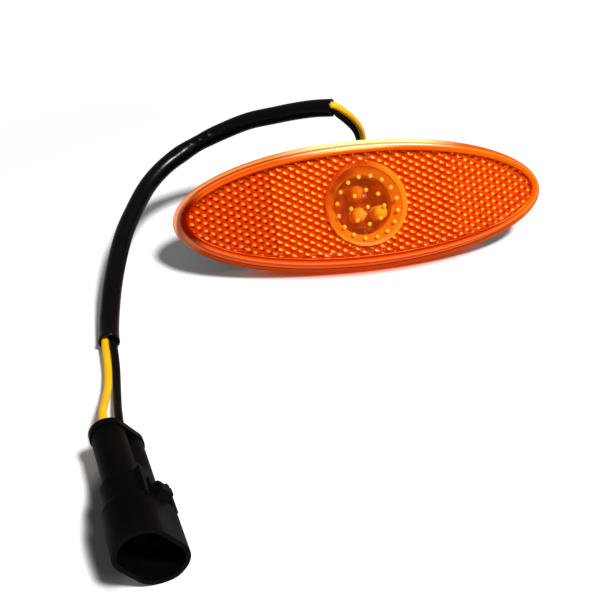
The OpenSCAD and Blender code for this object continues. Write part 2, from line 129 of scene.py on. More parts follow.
def with_stops(ramp: Node, stops: Bands) -> Node:
    """Give a colour ramp its stops, places with sRGB hex colours, and return it."""
    elements = ramp.color_ramp.elements
    while len(elements) < len(stops):
        elements.new(0.5)
    for element, (place, code) in zip(elements, stops):
        element.position = place
        element.color = linear(code)
    return ramp


@dataclass(frozen=True)
class Finish:
    """A moulded or drawn surface: one colour with slow variation and a fine grain."""

    name: str
    colour: str
    second: str
    roughness: float = 0.4
    grain_mm: float = 0.4
    grain_depth: float = 0.1
    patch_mm: float = 8.0
    metallic: float = 0.0
    specular: float = 0.5
    tint: str = "#ffffff"
    alpha: float = 1.0
    drift: Pair = (0.3, 0.7)
    bump_mm: float = 0.1

    def grain(self, tree: NodeTree, shader: Node) -> Node:
        """Give the surface its grain as bump and roughness, and return the slow variation."""
        add = partial(add_node, tree)
        place = add("ShaderNodeTexCoord").outputs["Object"]
        fine, slow = (add(NOISE, place, inputs={"Scale": 1 / (size * MM), "Detail": detail})
                      for size, detail in ((self.grain_mm, 3.0), (self.patch_mm, 2.0)))
        feed(tree, add(BUMP, inputs={"Height": fine, "Strength": self.grain_depth,
                                     "Distance": self.bump_mm * MM}), shader.inputs["Normal"])
        low, high = self.roughness * 0.85, min(1.0, self.roughness * 1.2)
        feed(tree, add(RANGE, slow, 0.3, 0.7, low, high), shader.inputs["Roughness"])
        return slow

    def paint(self, tree: NodeTree, slow: Node) -> Node:
        """Colour the surface, here with a slow drift between the finish's two colours."""
        colours = (self.colour, self.second)
        return with_stops(add_node(tree, RAMP, slow), tuple(zip(self.drift, colours)))

    def material(self) -> Material:
        """Build the node material of this finish, with fixed values that nothing drives."""
        material = bpy.data.materials.new(self.name)
        tree = empty_tree(material)
        shader = add_node(tree, "ShaderNodeBsdfPrincipled", inputs={
            "Base Color": linear(self.colour), "Metallic": self.metallic,
            "Specular IOR Level": self.specular, "Specular Tint": linear(self.tint),
            "Alpha": self.alpha, "Roughness": self.roughness})
        add_node(tree, "ShaderNodeOutputMaterial", shader)
        feed(tree, self.paint(tree, self.grain(tree, shader)), shader.inputs["Base Color"])
        return material


@dataclass(frozen=True)
class RimFinish(Finish):
    """Clear amber acrylic seen edge on: bands that follow the rim's section, 0 at its back.

    Its bands hold painted shade in the grooves and along the inner wall, and painted light: the
    left end paler, the top yellow with a white highlight line, the right end an even orange.
    """

    # Painted shade darkens the groove at the lip's foot and the inner wall by the prisms; the pale
    # band on the rounded edge is a painted highlight
    below: Bands = ((0.00, "#8c2400"), (0.06, "#a82c00"), (0.10, "#c23400"), (0.125, "#ee5410"),
                    (0.145, "#f4601a"), (0.165, "#d84006"), (0.18, "#8c1c00"), (0.21, "#a82400"),
                    (0.25, "#f0601c"), (0.34, "#e04a0c"), (0.42, "#bc2c00"), (0.47, "#d84008"),
                    (0.53, "#ff7c34"), (0.57, "#f4641c"), (0.62, "#e04a0a"), (0.67, "#c02c00"),
                    (0.74, "#a41200"), (0.86, "#b01a00"), (0.90, "#7c0600"), (1.00, "#700400"))
    # The left end is painted pale, as light through the acrylic would show it, with painted shade
    # further in
    left: Bands = ((0.00, "#6c3018"), (0.06, "#8a4a30"), (0.10, "#ec9a74"), (0.20, "#e8845c"),
                   (0.36, "#d8683c"), (0.44, "#9c2404"), (0.56, "#6e0800"), (0.74, "#700a00"),
                   (0.84, "#a81c00"), (1.00, "#8a1000"))
    # The top is painted pale yellow where light falls on it, with a painted white highlight line on
    # the rounded edge
    painted_light_above: Bands = ((0.00, "#e8a030"), (0.06, "#ffc840"), (0.10, "#fff09c"), (0.16, "#fff4ac"),
                    (0.20, "#ffe070"), (0.28, "#f88c20"), (0.36, "#e05008"), (0.46, "#f06a10"),
                    (0.52, "#ffd8a0"), (0.56, "#fffaf0"), (0.60, "#ff9040"), (0.64, "#ec5a08"),
                    (0.78, "#e84a02"), (0.88, "#e04000"), (1.00, "#a82000"))
    # Painted light and shade at the upper left: thin bright lines between dark bands
    upper_left: Bands = ((0.00, "#6c2400"), (0.08, "#7c2800"), (0.115, "#c85c20"),
                         (0.135, "#f69848"), (0.17, "#f07c30"), (0.20, "#a82000"),
                         (0.28, "#e8641c"), (0.36, "#8c1000"), (0.44, "#b42400"),
                         (0.50, "#ff8438"), (0.55, "#f46414"), (0.62, "#d03400"),
                         (0.70, "#f2600e"), (0.80, "#e84a04"), (0.86, "#b01c00"),
                         (0.94, "#a01800"), (1.00, "#8a1000"))
    right: Bands = ((0.00, "#c84400"), (0.08, "#d84c00"), (0.16, "#f25c04"), (0.50, "#f66004"),
                    (0.56, "#ff8430"), (0.62, "#f45c04"), (0.86, "#f45a02"), (0.94, "#f05400"),
                    (1.00, "#e64a00"))

    def paint(self, tree: NodeTree, slow: Node) -> Node:
        """Lay the bands of each stretch of the rim over each other, by its own place attribute."""
        add = partial(add_node, tree)
        around = add("ShaderNodeAttribute", attribute_name="around").outputs["Vector"]
        along, up, band = add("ShaderNodeSeparateXYZ", around).outputs
        # Painted light along the top and its highlight line, fading in by place round the oval
        painted_light_top = add(MATH, add(RANGE, along, -0.5, -0.1, **SMOOTH),
                      add(RANGE, up, 0.3, 0.6, **SMOOTH), operation="MULTIPLY")
        right_end = add(MATH, add(RANGE, along, 0.28, 0.62, **SMOOTH),
                        add(RANGE, up, -0.75, -0.35, **SMOOTH), operation="MULTIPLY")
        stretches = ((add(RANGE, up, 0.05, 0.35, **SMOOTH), self.upper_left),
                     (painted_light_top, self.painted_light_above),
                     (add(RANGE, along, -0.86, -0.97, **SMOOTH), self.left),
                     (right_end, self.right))
        colour = with_stops(add(RAMP, band), self.below)
        for share, bands in stretches:
            colour = add(MIX, share, colour, with_stops(add(RAMP, band), bands), **COLOUR)
        return colour


@dataclass(frozen=True)
class Glint:
    """Painted highlight and shade of one prism, drawn on its own flat coordinates in its radii."""

    base: str
    patch: str
    halo: str
    core: str
    shade: str
    at: Point = (0.05, 0.2, 0)
    half: Pair = (0.6, 0.32)
    core_at: Point = (-0.15, 0.28, 0)
    shade_at: Point = (-0.2, -0.35, 0)
    shade_half: Pair = (0.6, 0.28)
    tilt: float = 25

    def oval(self, tree: NodeTree, cell: NodeSocket, centre: Point,
             half: Pair, soft: float) -> Node:
        """Draw a slanted oval spot, 1 inside and 0 outside, with a soft rim."""
        add = partial(add_node, tree)
        moved = add(VECTOR, cell, centre, operation="SUBTRACT")
        turned = add("ShaderNodeVectorRotate", rotation_type="Z_AXIS",
                     inputs={"Vector": moved, "Angle": math.radians(self.tilt)})
        shrunk = add(VECTOR, turned, (1 / half[0], 1 / half[1], 0), operation="MULTIPLY")
        return add(RANGE, add(VECTOR, shrunk, operation="LENGTH"), 1 + soft, 1 - soft, **SMOOTH)

    def draw(self, tree: NodeTree, cell: NodeSocket,
             wobble: Node) -> Node:
        """Draw patch, painted shade, and the painted highlight's halo and core over the base, and
        return the colour.
        """
        add = partial(add_node, tree)
        core_half = (self.half[0] * 0.62, self.half[1] * 0.7)
        layers = ((add(RANGE, wobble, 0.4, 0.68, **SMOOTH), self.patch),
                  (self.oval(tree, cell, self.shade_at, self.shade_half, 0.5), self.shade),
                  (self.oval(tree, cell, self.at, self.half, 0.35), self.halo),
                  (self.oval(tree, cell, self.core_at, core_half, 0.5), self.core))
        colour = linear(self.base)
        for share, code in layers:
            colour = add(MIX, share, colour, linear(code), **COLOUR)
        return colour


@dataclass(frozen=True)
class PrismFinish(Finish):
    """The back of the prisms seen through amber acrylic, with a painted glint and shade that differ
    by third.
    """

    left: Glint = Glint("#c43000", "#cc1c00", "#ff7c20", "#ffb048", "#640200", at=(0.0, 0.22, 0),
                        half=(0.46, 0.3), core_at=(0.12, 0.24, 0), shade_at=(0.2, -0.34, 0),
                        shade_half=(0.62, 0.28))
    middle: Glint = Glint("#d03200", "#c41000", "#ff8a18", "#ffe050", "#940800", half=(0.62, 0.27))
    right: Glint = Glint("#dc4600", "#d42c00", "#ff9a28", "#ffdc70", "#8c1000", at=(0.0, 0.2, 0),
                         half=(0.42, 0.28), shade_at=(0.42, -0.16, 0), shade_half=(0.36, 0.28))
    wobble_mm: float = 2.2

    def paint(self, tree: NodeTree, slow: Node) -> Node:
        """Paint each prism's highlight and shade on its own coordinates, by the third that it
        stands in.
        """
        add = partial(add_node, tree)
        cell = add("ShaderNodeAttribute", attribute_name="cell").outputs["Vector"]
        zone = add("ShaderNodeAttribute", attribute_name="zone").outputs["Fac"]
        wobble = add(NOISE, add("ShaderNodeTexCoord").outputs["Object"],
                     inputs={"Scale": 1 / (self.wobble_mm * MM), "Detail": 1.0})
        colour = self.left.draw(tree, cell, wobble)
        for edge, glint in ((0.25, self.middle), (0.75, self.right)):
            colour = add(MIX, add(MATH, zone, edge, operation="GREATER_THAN"), colour,
                         glint.draw(tree, cell, wobble), **COLOUR)
        return colour


@dataclass(frozen=True)
class SideFinish(Finish):
    """A pale cup seen through the window: painted lit where it faces the light, painted red shade
    elsewhere.
    """

    lit_from: Point = (0.75, 0.0, -0.66)
    middle_mm: float = -16.0
    spread_mm: float = 9.0

    def paint(self, tree: NodeTree, slow: Node) -> Node:
        """Paint shade to light: fade from the unlit colour to the lit one across the row frame,
        along an uneven line.
        """
        add = partial(add_node, tree)
        place = add("ShaderNodeTexCoord").outputs["Object"]
        along = add(VECTOR, place, self.lit_from, operation="DOT_PRODUCT")
        uneven = add(MATH, slow, 0.5, operation="SUBTRACT")
        shifted = add(MATH, uneven, 2 * self.spread_mm * MM, along, operation="MULTIPLY_ADD")
        lit = add(RANGE, shifted, (self.middle_mm - self.spread_mm) * MM,
                  (self.middle_mm + self.spread_mm * 0.3) * MM, **SMOOTH)
        return add(MIX, lit, linear(self.second), linear(self.colour), **COLOUR)


@dataclass(frozen=True)
class SleeveFinish(Finish):
    """Black soft PVC tubing, drawn to a gloss and creased where it was bent."""

    grain_mm: float = 6.0
    grain_depth: float = 0.35
    drift: Pair = (0.35, 0.7)
    bump_mm: float = 0.4

    def grain(self, tree: NodeTree, shader: Node) -> Node:
        """Crease the surface with bump and return the creases."""
        place = add_node(tree, "ShaderNodeTexCoord").outputs["Object"]
        crease = add_node(tree, NOISE, place, inputs={
            "Scale": 1 / (self.grain_mm * MM), "Detail": 4.0, "Distortion": 0.6})
        feed(tree, add_node(tree, BUMP, inputs={
            "Height": crease, "Strength": self.grain_depth, "Distance": self.bump_mm * MM}),
            shader.inputs["Normal"])
        return crease


class Part(Enum):
    """Finishes of the object's pieces."""

    # Amber acrylic, polished in the mould, seen through its edge as bands of deeper colour, with
    # painted light and shade
    RIM = RimFinish("amber_acrylic_rim", "#f06a08", "#e05004", 0.12, 0.5, 0.03, 9, specular=0.2,
                    tint="#ff9c38")
    # The same acrylic behind the face, where each prism has a painted glint and painted shade
    PRISMS = PrismFinish("amber_acrylic_prisms", "#e03a00", "#c02800", 0.4, 0.5, 0.05, 6,
                         specular=0.04, tint="#ff8020")
    # A thin clear layer of it over the prisms gives the face its smooth shine
    FACE = Finish("amber_acrylic_face", "#ff5a04", "#f24c00", 0.05, 0.6, 0.01, 20,
                  specular=0.3, alpha=0.04)
    WINDOW = Finish("amber_acrylic_window", "#ff6a06", "#f85600", 0.05, 0.6, 0.01, 20,
                    specular=0.3, alpha=0.08)
    # Small domes of the acrylic, coloured pale yellow as a painted highlight on each
    PIPS = Finish("amber_acrylic_pips", "#ffe450", "#ffc42c", 0.2, 0.6, 0.02, 6, specular=0.1)
    # The window's wall, painted lit on one side and in shade on the other
    STEP = SideFinish("amber_acrylic_step", "#ff8814", "#b83000", 0.3, 0.6, 0.02, 6, specular=0.05)
    # Pieces behind the amber window are coloured as they look through it, with painted light and
    # shade
    CUP = SideFinish("reflector_cup_abs", "#ff8410", "#8e1400", 0.4, 0.5, 0.06, 7, specular=0.05)
    BOARD = Finish("circuit_board_laminate", "#6a0800", "#b83404", 0.45, 0.3, 0.1, 2.6,
                   specular=0.05)
    # The diodes are one epoxy, in painted lit, half-shaded and shaded copies
    DIODE = Finish("diode_epoxy", "#ffb828", "#ff920c", 0.12, 0.8, 0.02, 2.4, specular=0.2)
    HALF_SHADED_DIODE = Finish("diode_epoxy_painted_half_shade", "#f08018", "#d85804", 0.12, 0.8, 0.02, 2.4,
                       specular=0.2)
    PAINTED_LIT_DIODE = Finish("diode_epoxy_painted_light", "#ffc428", "#ffac10", 0.12, 0.8, 0.02, 2.4,
                          specular=0.2)
    SHADED_DIODE = Finish("diode_epoxy_painted_shade", "#8c1400", "#6c0a00", 0.12, 0.8, 0.02, 3, specular=0.2)
    CHIP = Finish("chip_ceramic", "#2a0c06", "#1c0804", 0.4, 0.3, 0.1, 2, specular=0.1)
    BROWN_CHIP = Finish("capacitor_ceramic", "#9c4a1a", "#7a3410", 0.4, 0.3, 0.1, 2, specular=0.1)
    # Black ABS moulded against a fine spark-eroded tool, so it has a satin grain
    HOUSING = Finish("black_abs", "#17171a", "#1d1d20", 0.5, 0.25, 0.25, 12, specular=0.3)
    FOAM = Finish("gasket_foam", "#2c2c2e", "#38383a", 0.95, 0.35, 0.9, 5)
    RUBBER = Finish("black_rubber", "#121213", "#1a1a1b", 0.7, 0.3, 0.3, 5)
    YELLOW = Finish("yellow_pvc_cover", "#f8b400", "#ffc40c", 0.32, 0.5, 0.05, 10, specular=0.2)
    BLACK = Finish("black_pvc_cover", "#050505", "#090909", 0.4, 0.5, 0.05, 10, specular=0.1)
    SLEEVE = SleeveFinish("sleeve_soft_pvc", "#020202", "#050505", 0.24, specular=0.22)
    PLUG = Finish("plug_glass_nylon", "#040404", "#090707", 0.45, 0.3, 0.3, 9, specular=0.05)
    LOCK = Finish("plug_lock_nylon", "#060606", "#0a0a0a", 0.6, 0.3, 0.3, 9, specular=0.02)
    # Tinned brass, painted dark as the shade inside the plug's mouth
    TIN = Finish("tinned_brass", "#262523", "#1d1c1b", 0.55, 0.3, 0.1, 3, metallic=1.0)

    def material(self) -> Material:
        """Return this finish's material, made once."""
        found = bpy.data.materials.get(self.value.name)
        return found or self.value.material()


# ---------------------------------------------------------------- objects and meshes

def new_object(name: str, data: bpy.types.ID) -> Object:
    """Put a mesh, curve, camera or light into the scene as an object."""
    obj = bpy.data.objects.new(name, data)
    bpy.context.scene.collection.objects.link(obj)
    return obj


def new_piece(name: str, verts: Sequence[Sequence[float]], faces: Sequence[Sequence[int]],
              part: Part, smooth: bool = True) -> Object:
    """Make an object at the origin from points in millimetres.

    Args:
        name: Name of the piece.
        verts: Points in the row frame, in millimetres.
        faces: Corners of each face.
        part: Finish of the piece.
        smooth: Whether its faces shade smoothly.

    Returns:
        The new object.
    """
    mesh = bpy.data.meshes.new(name)
    mesh.from_pydata([[c * MM for c in v] for v in verts], [], faces)
    mesh.materials.append(part.material())
    mesh.polygons.foreach_set("use_smooth", [smooth] * len(mesh.polygons))
    return new_object(name, mesh)


def settle(obj: Object, slot: str, *nodes: str) -> Object:
    """Make a piece ride on the lamp and hide the nodes it stands for."""
    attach(obj, ROOT)
    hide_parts(*nodes)
    return obj


def lofted(rings: Sequence[Sequence[Point]], closed: bool) -> tuple[list[Point], list[list[int]]]:
    """Join rings of equal length into a closed surface.

    Args:
        rings: Rings of points, each running the same way round.
        closed: Whether the last ring joins the first, instead of both being capped.

    Returns:
        Points and faces.
    """
    count = len(rings[0])
    points = [p for ring in rings for p in ring]
    faces = []
    for i in range(len(rings) if closed else len(rings) - 1):
        low, high = i * count, (i + 1) % len(rings) * count
        for k in range(count):
            m = (k + 1) % count
            faces.append([low + k, low + m, high + m, high + k])
    if not closed:
        faces.append(list(range(count))[::-1])
        faces.append([(len(rings) - 1) * count + k for k in range(count)])
    return points, faces


def outward(obj: Object) -> Object:
    """Turn the faces of a closed mesh outwards."""
    work = bmesh.new()
    work.from_mesh(obj.data)
    bmesh.ops.recalc_face_normals(work, faces=work.faces)
    work.to_mesh(obj.data)
    work.free()
    return obj


def smooth_route(points: Sequence[Point], steps: int) -> list[Vector]:
    """Draw one smooth curve through the points of a route.

    Args:
        points: Points in millimetres.
        steps: Number of pieces between two points.

    Returns:
        Points on the curve, in millimetres.
    """
    p = [Vector(q) for q in points]
    p = [2 * p[0] - p[1], *p, 2 * p[-1] - p[-2]]
    out = []
    for i in range(1, len(p) - 2):
        for s in range(steps):
            t = s / steps
            a, b, c, d = p[i - 1:i + 3]
            out.append(0.5 * (2 * b + (c - a) * t + (2 * a - 5 * b + 4 * c - d) * t ** 2
                              + (3 * b - a - 3 * c + d) * t ** 3))
    return [*out, p[-2]]


@dataclass
class NodeGroup:
    """A Geometry Nodes tree with named inputs, run once for one plain mesh."""

    name: str
    values: dict[str, object]
    tree: NodeTree = field(init=False)
    sockets: dict[str, NodeSocket] = field(init=False)

    def __post_init__(self) -> None:
        """Start the tree with an input for each value: a length, a count or an object."""
        self.tree = bpy.data.node_groups.new(self.name, "GeometryNodeTree")
        new_socket = self.tree.interface.new_socket
        new_socket("Geometry", in_out="OUTPUT", socket_type="NodeSocketGeometry")
        kinds = {float: "NodeSocketFloat", int: "NodeSocketInt", Object: "NodeSocketObject"}
        for key, value in self.values.items():
            new_socket(key, in_out="INPUT", socket_type=kinds[type(value)])
        start = self.tree.nodes.new("NodeGroupInput")
        self.sockets = {key: start.outputs[key] for key in self.values}

    def run(self, geometry: Node, name: str, part: Part) -> Object:
        """Run the tree once and keep its result as a plain mesh.

        Args:
            geometry: Node with the last geometry, which may hold instances.
            name: Name of the new piece.
            part: Finish of the piece.

        Returns:
            The object with the finished mesh.
        """
        add = partial(add_node, self.tree)
        real = add("GeometryNodeRealizeInstances", geometry)
        dressed = add("GeometryNodeSetMaterial", real, inputs={"Material": part.material()})
        add("NodeGroupOutput", dressed)
        carrier = new_piece(name + "_carrier", [(0, 0, 0)], [], part)
        modifier = carrier.modifiers.new("Nodes", "NODES")
        modifier.node_group = self.tree
        for item in self.tree.interface.items_tree:
            if item.in_out == "INPUT":
                modifier[item.identifier] = self.values[item.name]
        graph = bpy.context.evaluated_depsgraph_get()
        mesh = bpy.data.meshes.new_from_object(carrier.evaluated_get(graph))
        bpy.data.objects.remove(carrier)
        mesh.name = name
        return new_object(name, mesh)


# ---------------------------------------------------------------- the lamp

@dataclass
class Lean:
    """How the lamp rests on the table: its own directions turned back by the lean."""

    lens_h: float = 41.5
    box_h: float = 26
    box_d: float = 9.5
    pad_t: float = 1.2
    lip_edge: float = 0.3

    @property
    def angle(self) -> float:
        """Angle by which the face leans back, in radians."""
        return math.atan((self.lens_h - self.box_h) / 2 / (self.box_d + self.pad_t + self.lip_edge))

    def matrix(self) -> Matrix:
        """Turn from the lamp's own directions into the row frame, in millimetres.

        Returns:
            The turn and the place of the lamp, which is taken from the gasket's box.
        """
        low, high = (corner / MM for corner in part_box("gasket"))
        turn = Matrix.Rotation(math.pi / 2 - self.angle, 4, "X")
        up = self.lens_h / 2 * math.cos(self.angle)
        up -= (self.pad_t + self.lip_edge) * math.sin(self.angle)
        middle = (low.y + high.y) / 2 + self.pad_t / 2 * math.cos(self.angle)
        return Matrix.Translation((0, middle, up)) @ turn


@dataclass
class Lens:
    """The one-piece amber moulding, made here as its rim, its face and its prism field."""

    length: float = 121
    height: float = 41.5
    lip_z: float = 3.4
    depth: float = 8
    crown: float = 0.8
    border: float = 4.7
    ceiling: float = 5.7
    wall_foot: float = 1.2
    wall_top: float = 2.2
    edge_r: float = 1.1
    prism_top: float = 7.7
    hidden: float = 3.6
    pitch: float = 2.35
    seam_x: float = 29.6
    face_layer: float = 0.3
    # Share by which the prisms' normals turn to the face's
    evening: float = 0.75
    window_r: float = 13
    window_sides: int = 96
    pane_z: Pair = (0.6, 1.2)
    wall_out: float = 0.35
    wall_step: float = 0.9
    prism_spread: float = 2.5
    window_overlap: float = 0.4
    pip_ring: float = 9.9
    pip_inner: float = 0.55
    pip_count: int = 16
    pip_r: float = 0.7
    pip_at: Point = (0.8, -1, 0)
    sides: int = 240
    place: Matrix = field(default_factory=lambda: Lean().matrix())

    @property
    def drop(self) -> float:
        """Depth of a prism from its highest to its lowest point."""
        return self.pitch * math.sqrt(2 / 3)

    def front_z(self, inset: float) -> float:
        """Height of the crowned front at a distance from the rim."""
        edge = self.wall_top + self.edge_r
        run = min(1.0, max(0.0, (inset - edge) / (self.height / 2 - edge)))
        return self.depth + self.crown * (1 - (1 - run) ** 2)

    def ring(self, a: float, b: float, z: float, sides: int) -> list[Point]:
        """One ring with half axes a and b at a depth in the lamp, in the row frame."""
        turns = [2 * math.pi * i / sides for i in range(sides)]
        return [tuple(self.place @ Vector((a * math.cos(t), b * math.sin(t), z))) for t in turns]

    def oval_ring(self, inset: float, z: float) -> list[Point]:
        """One oval ring at a distance from the rim."""
        return self.ring(self.length / 2 - inset, self.height / 2 - inset, z, self.sides)

    def round_ring(self, r: float, z: float) -> list[Point]:
        """One round ring about the window's middle."""
        return self.ring(r, r, z, self.window_sides)

    def rim_section(self) -> list[Point]:
        """Section of the rim as distance from its edge, depth and band, once round."""
        r, top = self.edge_r, self.depth
        arc = [(self.wall_top + r * (1 - math.cos(t)), top - r * (1 - math.sin(t)),
                0.42 + 0.2 * t / 1.571) for t in (0.0, 0.4, 0.8, 1.2, 1.571)]
        return [(2.4, 3.2, 0.02), (2.4, 1.2, 0.02), (0.3, 1.2, 0.04), (0.09, 1.29, 0.05),
                (0, 1.5, 0.06), (0, 3.1, 0.08), (0.09, 3.31, 0.1), (0.3, self.lip_z, 0.12),
                (self.wall_foot - 0.15, self.lip_z, 0.15), (self.wall_foot, 3.5, 0.18), *arc,
                (4.0, self.front_z(4.0), 0.76), (self.border, self.front_z(self.border), 0.88),
                (self.border, self.prism_top, 0.91), (self.border, self.ceiling, 0.93),
                (3.9, 3.6, 0.98), (3.5, 3.2, 1.0)]

    def build_rim(self) -> Object:
        """Build the ring of lip, side wall and border.

        Returns:
            The rim piece, with its place round the oval and along the section as an attribute.
        """
        section = self.rim_section()
        points, faces = lofted([self.oval_ring(inset, z) for inset, z, _ in section], closed=True)
        obj = outward(new_piece("lens_rim", points, faces, Part.RIM))
        around = obj.data.attributes.new("around", "FLOAT_VECTOR", "POINT")
        turns = [2 * math.pi * i / self.sides for i in range(self.sides)]
        values = [c for _, _, band in section for t in turns
                  for c in (math.cos(t), math.sin(t), band)]
        around.data.foreach_set("vector", values)
        return obj

    def build_face(self) -> Object:
        """Build the clear layer of the face, from the border to the middle."""
        insets = [self.border - 0.05 + (self.height / 2 - self.border) * i / 8 for i in range(8)]
        front = [self.oval_ring(i, self.front_z(i)) for i in insets]
        back = [self.oval_ring(i, self.front_z(i) - self.face_layer) for i in insets]
        points, faces = lofted([*back[::-1], *front], closed=False)
        return outward(new_piece("lens_face", points, faces, Part.FACE))

    def cell_mesh(self) -> Object:
        """Build one prism, the corner of a cube that hangs tip down, with its own coordinates."""
        r = self.pitch / math.sqrt(3)
        corners = [Vector((r * math.cos(math.pi * k / 3), r * math.sin(math.pi * k / 3),
                           0 if k % 2 == 0 else -self.drop / 2)) for k in range(6)]
        points = [Vector((0, 0, -self.drop)), *corners]
        faces = [[0, k + 1, (k + 1) % 6 + 1, (k + 2) % 6 + 1] for k in (1, 3, 5)]
        obj = new_piece("prism", points, faces, Part.PRISMS, smooth=False)
        cell = obj.data.attributes.new("cell", "FLOAT_VECTOR", "POINT")
        cell.data.foreach_set("vector", [c for p in points for c in (p.x / r, p.y / r, 0)])
        return obj

    def build_prisms(self) -> Object:
        """Set the prisms on their hexagonal lattice inside the border and round the window.

        They stand as near to the face as they look through the acrylic.
        """
        cell = self.cell_mesh()
        spread = self.prism_spread
        group = NodeGroup("Prism field", {
            "Pitch": self.pitch * MM, "Half length": (self.length / 2 - spread) * MM,
            "Half height": (self.height / 2 - spread) * MM,
            "Window radius": self.window_r * MM, "Seam": self.seam_x * MM, "Prism": cell})
        add = partial(add_node, group.tree)
        pitch, half_length, half_height, window, seam, prism = group.sockets.values()
        # A grid whose every second column is moved by half a pitch, with its middle in a column
        step = math.cos(math.pi / 6)
        columns = 2 * math.ceil(self.length / 2 / (self.pitch * step)) + 1
        rows = 2 * math.ceil(self.height / 2 / self.pitch) + 3
        column_w = add(MATH, pitch, step, operation="MULTIPLY")
        grid = add("GeometryNodeMeshGrid", add(MATH, column_w, columns - 1.0, operation="MULTIPLY"),
                   add(MATH, pitch, rows - 1.0, operation="MULTIPLY"), columns, rows)
        count = add(MATH, add("GeometryNodeInputIndex"), 0.5, operation="ADD")
        column = add(MATH, add(MATH, count, float(rows), operation="DIVIDE"), operation="FLOOR")
        from_middle = add(MATH, column, float(columns // 2), operation="ADD")
        odd = add(MATH, from_middle, 2.0, operation="FLOORED_MODULO")
        half_pitch = add(MATH, odd, 0.5, operation="MULTIPLY")
        shift = add("ShaderNodeCombineXYZ", 0.0, add(MATH, half_pitch, pitch, operation="MULTIPLY"))
        moved = add("GeometryNodeSetPosition", grid, inputs={"Offset": shift})
        # Prisms past the oval or well inside the window are left out
        place = add("GeometryNodeInputPosition")
        halves = add("ShaderNodeCombineXYZ", half_length, half_height, 1.0)
        oval = add(VECTOR, add(VECTOR, place, halves, operation="DIVIDE"), operation="LENGTH")
        outside = add(MATH, oval, 1.0, operation="GREATER_THAN")
        margin = add(MATH, pitch, self.window_overlap, operation="MULTIPLY")
        in_window = add(MATH, add(VECTOR, place, operation="LENGTH"),
                        add(MATH, window, margin, operation="SUBTRACT"), operation="LESS_THAN")
        kept = add("GeometryNodeDeleteGeometry", moved,
                   add(MATH, outside, in_window, operation="MAXIMUM"), domain="POINT")
        # The third of the face: 0 at the left, 0.5 in the middle and 1 at the right
        x = add("ShaderNodeSeparateXYZ", place)
        at_right = add(MATH, x, seam, operation="GREATER_THAN")
        left_seam = add(MATH, seam, -1.0, operation="MULTIPLY")
        at_left = add(MATH, x, left_seam, operation="LESS_THAN")
        side = add(MATH, at_right, at_left, operation="SUBTRACT")
        zone = add(MATH, side, 0.5, 0.5, operation="MULTIPLY_ADD")
        named = add("GeometryNodeStoreNamedAttribute", kept, domain="POINT",
                    inputs={"Name": "zone", "Value": zone})
        seed = add(OBJECT_INFO, prism).outputs["Geometry"]
        placed = add(ON_POINTS, named, inputs={"Instance": seed})
        obj = group.run(placed, "prism_field", Part.PRISMS)
        bpy.data.objects.remove(cell)
        return self.soften(self.set_in(obj, self.prism_top, self.trimmed))

    def trimmed(self, spot: Vector) -> Vector:
        """Pull a point of the prism field in under the border, or out of the window."""
        gap = math.hypot(spot.x, spot.y)
        reach = math.hypot(spot.x / (self.length / 2 - self.hidden),
                           spot.y / (self.height / 2 - self.hidden))
        share = self.window_r / gap if gap < self.window_r else 1 / max(1.0, reach)
        return Vector((spot.x * share, spot.y * share, spot.z))

    def build_pips(self) -> Object:
        """Set the small domes of the window on two rings and in the middle."""
        dome = outward(new_piece("pip", *self.dome(), Part.PIPS))
        group = NodeGroup("Window pips", {
            "Outer radius": self.pip_ring * MM,
            "Inner radius": self.pip_ring * self.pip_inner * MM,
            "Count": self.pip_count, "Dome": dome})
        add = partial(add_node, group.tree)
        outer_r, inner_r, count, seed = group.sockets.values()
        outer = add("GeometryNodeMeshCircle", count, outer_r)
        turned = add("GeometryNodeTransform", outer,
                     inputs={"Rotation": (0, 0, math.pi / self.pip_count)})
        inner = add("GeometryNodeMeshCircle", add(MATH, count, 2.0, operation="DIVIDE"), inner_r)
        joined = add("GeometryNodeJoinGeometry")
        for part in (turned, inner, add("GeometryNodeMeshLine", 1)):
            feed(group.tree, part, joined.inputs[0])
        pip = add(OBJECT_INFO, seed).outputs["Geometry"]
        placed = add(ON_POINTS, joined, inputs={"Instance": pip})
        shifted = add("GeometryNodeTransform", placed,
                      inputs={"Translation": [c * MM for c in self.pip_at]})
        obj = group.run(shifted, "window_pips", Part.PIPS)
        bpy.data.objects.remove(dome)
        return self.set_in(obj, self.ceiling)

    def dome(self) -> tuple[list[Point], list[list[int]]]:
        """Points and faces of one small dome that stands out of the window's back."""
        turns = [math.pi * k / 5 for k in range(10)]
        rings = [[(r * self.pip_r * math.cos(t), r * self.pip_r * math.sin(t), z) for t in turns]
                 for r, z in ((0.9, 0.3), (1, 0.1), (0.8, -0.15), (0.4, -0.3))]
        return lofted(rings, closed=False)

    def set_in(self, obj: Object, z: float,
               shape: Callable[[Vector], Vector] | None = None) -> Object:
        """Set a mesh from its tree's flat plane into the lamp.

        Args:
            obj: Piece to move.
            z: Depth in the lamp at which the flat plane lies.
            shape: Change of each point beforehand, in millimetres on the flat plane.

        Returns:
            The same piece.
        """
        for vertex in obj.data.vertices:
            spot = shape(vertex.co / MM) if shape else vertex.co / MM
            vertex.co = self.place @ Vector((spot.x, spot.y, spot.z + z)) * MM
        return obj

    def soften(self, obj: Object) -> Object:
        """Turn a piece's normals most of the way to the face's, which evens its light."""
        face = (self.place.to_3x3() @ Vector((0, 0, 1))).normalized()
        mesh = obj.data
        normals = [None] * len(mesh.loops)
        for polygon in mesh.polygons:
            polygon.use_smooth = True
            turned = polygon.normal.copy()
            if turned.dot(face) < 0:
                turned.negate()
            turned = turned.lerp(face, self.evening).normalized()
            for loop in polygon.loop_indices:
                normals[loop] = turned
        mesh.normals_split_custom_set(normals)
        return obj

